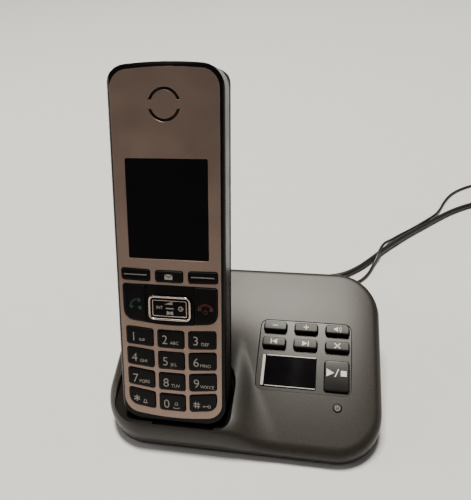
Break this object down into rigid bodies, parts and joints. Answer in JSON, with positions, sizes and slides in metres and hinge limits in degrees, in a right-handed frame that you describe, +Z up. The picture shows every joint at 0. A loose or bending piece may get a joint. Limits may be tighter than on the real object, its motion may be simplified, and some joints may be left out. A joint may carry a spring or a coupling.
{
  "type": "cordless telephone with base",
  "caption": "Cordless telephone handset standing in a charging base with an answering machine, with its telephone line cord and power lead.",
  "frame": {"origin": "middle of the base's footprint, at the height of the surface its feet stand on", "axes": "+Z up, +X to the right seen from the front, +Y to the back"},
  "size_m": [0.31, 0.2553, 0.156],
  "materials": {
    "shell_plastic": "fine matte grain",
    "dark_plastic": "matte",
    "panel_plastic": "fine matte grain",
    "panel_key_plastic": "satin top",
    "smoked_window": "polished",
    "circuit_board": "solder resist",
    "speaker_metal": "plain",
    "contact_metal": "plated",
    "foot_rubber": "matte",
    "screw_steel": "zinc plated",
    "fascia_paint": "fine metallic lacquer",
    "frame_gloss": "gloss",
    "handset_satin": "satin",
    "lcd_glass": "polished",
    "key_rubber": "moulded",
    "cell_wrap": "shrink wrapped",
    "nav_chrome": "satin chrome",
    "carrier_plastic": "matte",
    "cord_jacket": "soft satin jacket",
    "clear_plug": "clear moulding"
  },
  "bodies": {
    "base": {"base_top_shell": "shell_plastic", "base_bottom_shell": "dark_plastic", "cradle_insert": "dark_plastic", "control_panel": "panel_plastic", "message_window": "smoked_window", "base_pcb": "circuit_board", "base_speaker": "speaker_metal", "charge_springs": "contact_metal", "rubber_feet": "foot_rubber", "base_screws": "screw_steel", "base_sockets": "dark_plastic", "line_cord": "cord_jacket", "line_coil": "cord_jacket", "line_plugs": "clear_plug", "power_lead": "cord_jacket", "power_coil": "cord_jacket", "power_plug": "dark_plastic", "power_adapter": "dark_plastic"},
    "handset": {"handset_front_frame": "frame_gloss", "handset_fascia": "fascia_paint", "handset_back_shell": "handset_satin", "display_window": "smoked_window", "lcd_module": "lcd_glass", "earpiece_speaker": "speaker_metal", "ringer_speaker": "speaker_metal", "keypad_mat": "key_rubber", "handset_pcb": "circuit_board", "battery_cells": "cell_wrap", "handset_contacts": "contact_metal", "handset_screws": "screw_steel", "nav_bezel": "frame_gloss"},
    "battery_cover": {"battery_cover": "handset_satin"},
    "nav_carrier": {"nav_carrier": "carrier_plastic"},
    "nav_key": {"nav_ring": "nav_chrome", "nav_plate": "frame_gloss"},
    "key_1": {"key_1": "frame_gloss"},
    "key_2": {"key_2": "frame_gloss"},
    "key_3": {"key_3": "frame_gloss"},
    "key_4": {"key_4": "frame_gloss"},
    "key_5": {"key_5": "frame_gloss"},
    "key_6": {"key_6": "frame_gloss"},
    "key_7": {"key_7": "frame_gloss"},
    "key_8": {"key_8": "frame_gloss"},
    "key_9": {"key_9": "frame_gloss"},
    "key_star": {"key_star": "frame_gloss"},
    "key_0": {"key_0": "frame_gloss"},
    "key_hash": {"key_hash": "frame_gloss"},
    "soft_key_left": {"soft_key_left": "frame_gloss"},
    "message_key": {"message_key": "frame_gloss"},
    "soft_key_right": {"soft_key_right": "frame_gloss"},
    "talk_key": {"talk_key": "frame_gloss"},
    "end_key": {"end_key": "frame_gloss"},
    "volume_down_key": {"volume_down_key": "panel_key_plastic"},
    "volume_up_key": {"volume_up_key": "panel_key_plastic"},
    "loudspeaker_key": {"loudspeaker_key": "panel_key_plastic"},
    "previous_key": {"previous_key": "panel_key_plastic"},
    "next_key": {"next_key": "panel_key_plastic"},
    "delete_key": {"delete_key": "panel_key_plastic"},
    "play_stop_key": {"play_stop_key": "panel_key_plastic"},
    "paging_key": {"paging_key": "shell_plastic"}
  },
  "joints": [
    {"name": "handset_lift", "type": "slide", "parent": "base", "child": "handset", "axis": [0, 0.3955, 0.9184], "range_m": [0, 0.12]},
    {"name": "battery_cover_lift", "type": "slide", "parent": "handset", "child": "battery_cover", "axis": [0, 0.9184, -0.3955], "range_m": [0, 0.012]},
    {"name": "key_1_press", "type": "slide", "parent": "handset", "child": "key_1", "axis": [0, 0.9184, -0.3955], "range_m": [0, 0.0004], "stiffness_N_per_m": 900, "springref_m": -0.0002},
    {"name": "key_2_press", "type": "slide", "parent": "handset", "child": "key_2", "axis": [0, 0.9184, -0.3955], "range_m": [0, 0.0004], "stiffness_N_per_m": 900, "springref_m": -0.0002},
    {"name": "key_3_press", "type": "slide", "parent": "handset", "child": "key_3", "axis": [0, 0.9184, -0.3955], "range_m": [0, 0.0004], "stiffness_N_per_m": 900, "springref_m": -0.0002},
    {"name": "key_4_press", "type": "slide", "parent": "handset", "child": "key_4", "axis": [0, 0.9184, -0.3955], "range_m": [0, 0.0004], "stiffness_N_per_m": 900, "springref_m": -0.0002},
    {"name": "key_5_press", "type": "slide", "parent": "handset", "child": "key_5", "axis": [0, 0.9184, -0.3955], "range_m": [0, 0.0004], "stiffness_N_per_m": 900, "springref_m": -0.0002},
    {"name": "key_6_press", "type": "slide", "parent": "handset", "child": "key_6", "axis": [0, 0.9184, -0.3955], "range_m": [0, 0.0004], "stiffness_N_per_m": 900, "springref_m": -0.0002},
    {"name": "key_7_press", "type": "slide", "parent": "handset", "child": "key_7", "axis": [0, 0.9184, -0.3955], "range_m": [0, 0.0004], "stiffness_N_per_m": 900, "springref_m": -0.0002},
    {"name": "key_8_press", "type": "slide", "parent": "handset", "child": "key_8", "axis": [0, 0.9184, -0.3955], "range_m": [0, 0.0004], "stiffness_N_per_m": 900, "springref_m": -0.0002},
    {"name": "key_9_press", "type": "slide", "parent": "handset", "child": "key_9", "axis": [0, 0.9184, -0.3955], "range_m": [0, 0.0004], "stiffness_N_per_m": 900, "springref_m": -0.0002},
    {"name": "key_star_press", "type": "slide", "parent": "handset", "child": "key_star", "axis": [0, 0.9184, -0.3955], "range_m": [0, 0.0004], "stiffness_N_per_m": 900, "springref_m": -0.0002},
    {"name": "key_0_press", "type": "slide", "parent": "handset", "child": "key_0", "axis": [0, 0.9184, -0.3955], "range_m": [0, 0.0004], "stiffness_N_per_m": 900, "springref_m": -0.0002},
    {"name": "key_hash_press", "type": "slide", "parent": "handset", "child": "key_hash", "axis": [0, 0.9184, -0.3955], "range_m": [0, 0.0004], "stiffness_N_per_m": 900, "springref_m": -0.0002},
    {"name": "soft_key_left_press", "type": "slide", "parent": "handset", "child": "soft_key_left", "axis": [0, 0.9184, -0.3955], "range_m": [0, 0.0004], "stiffness_N_per_m": 900, "springref_m": -0.0002},
    {"name": "message_key_press", "type": "slide", "parent": "handset", "child": "message_key", "axis": [0, 0.9184, -0.3955], "range_m": [0, 0.0004], "stiffness_N_per_m": 900, "springref_m": -0.0002},
    {"name": "soft_key_right_press", "type": "slide", "parent": "handset", "child": "soft_key_right", "axis": [0, 0.9184, -0.3955], "range_m": [0, 0.0004], "stiffness_N_per_m": 900, "springref_m": -0.0002},
    {"name": "talk_key_press", "type": "slide", "parent": "handset", "child": "talk_key", "axis": [0, 0.9184, -0.3955], "range_m": [0, 0.0004], "stiffness_N_per_m": 900, "springref_m": -0.0002},
    {"name": "end_key_press", "type": "slide", "parent": "handset", "child": "end_key", "axis": [0, 0.9184, -0.3955], "range_m": [0, 0.0004], "stiffness_N_per_m": 900, "springref_m": -0.0002},
    {"name": "nav_tilt_up_down", "type": "hinge", "parent": "handset", "child": "nav_carrier", "pos_m": [-0.028, -0.01804, 0.06346], "axis": [1, 0, 0], "range_deg": [-3, 3], "stiffness_Nm_per_rad": 0.05},
    {"name": "nav_tilt_left_right", "type": "hinge", "parent": "nav_carrier", "child": "nav_key", "pos_m": [-0.028, -0.01804, 0.06346], "axis": [0, 0.3955, 0.9184], "range_deg": [-3, 3], "stiffness_Nm_per_rad": 0.05},
    {"name": "volume_down_key_press", "type": "slide", "parent": "base", "child": "volume_down_key", "axis": [0, 0.3127, -0.9499], "range_m": [0, 0.0007], "stiffness_N_per_m": 900, "springref_m": -0.0002},
    {"name": "volume_up_key_press", "type": "slide", "parent": "base", "child": "volume_up_key", "axis": [0, 0.3127, -0.9499], "range_m": [0, 0.0007], "stiffness_N_per_m": 900, "springref_m": -0.0002},
    {"name": "loudspeaker_key_press", "type": "slide", "parent": "base", "child": "loudspeaker_key", "axis": [0, 0.3127, -0.9499], "range_m": [0, 0.0007], "stiffness_N_per_m": 900, "springref_m": -0.0002},
    {"name": "previous_key_press", "type": "slide", "parent": "base", "child": "previous_key", "axis": [0, 0.3127, -0.9499], "range_m": [0, 0.0007], "stiffness_N_per_m": 900, "springref_m": -0.0002},
    {"name": "next_key_press", "type": "slide", "parent": "base", "child": "next_key", "axis": [0, 0.3127, -0.9499], "range_m": [0, 0.0007], "stiffness_N_per_m": 900, "springref_m": -0.0002},
    {"name": "delete_key_press", "type": "slide", "parent": "base", "child": "delete_key", "axis": [0, 0.3127, -0.9499], "range_m": [0, 0.0007], "stiffness_N_per_m": 900, "springref_m": -0.0002},
    {"name": "play_stop_key_press", "type": "slide", "parent": "base", "child": "play_stop_key", "axis": [0, 0.3127, -0.9499], "range_m": [0, 0.0007], "stiffness_N_per_m": 900, "springref_m": -0.0002},
    {"name": "paging_key_press", "type": "slide", "parent": "base", "child": "paging_key", "axis": [0, 0.3127, -0.9499], "range_m": [0, 0.0006], "stiffness_N_per_m": 900, "springref_m": -0.0002}
  ]
}
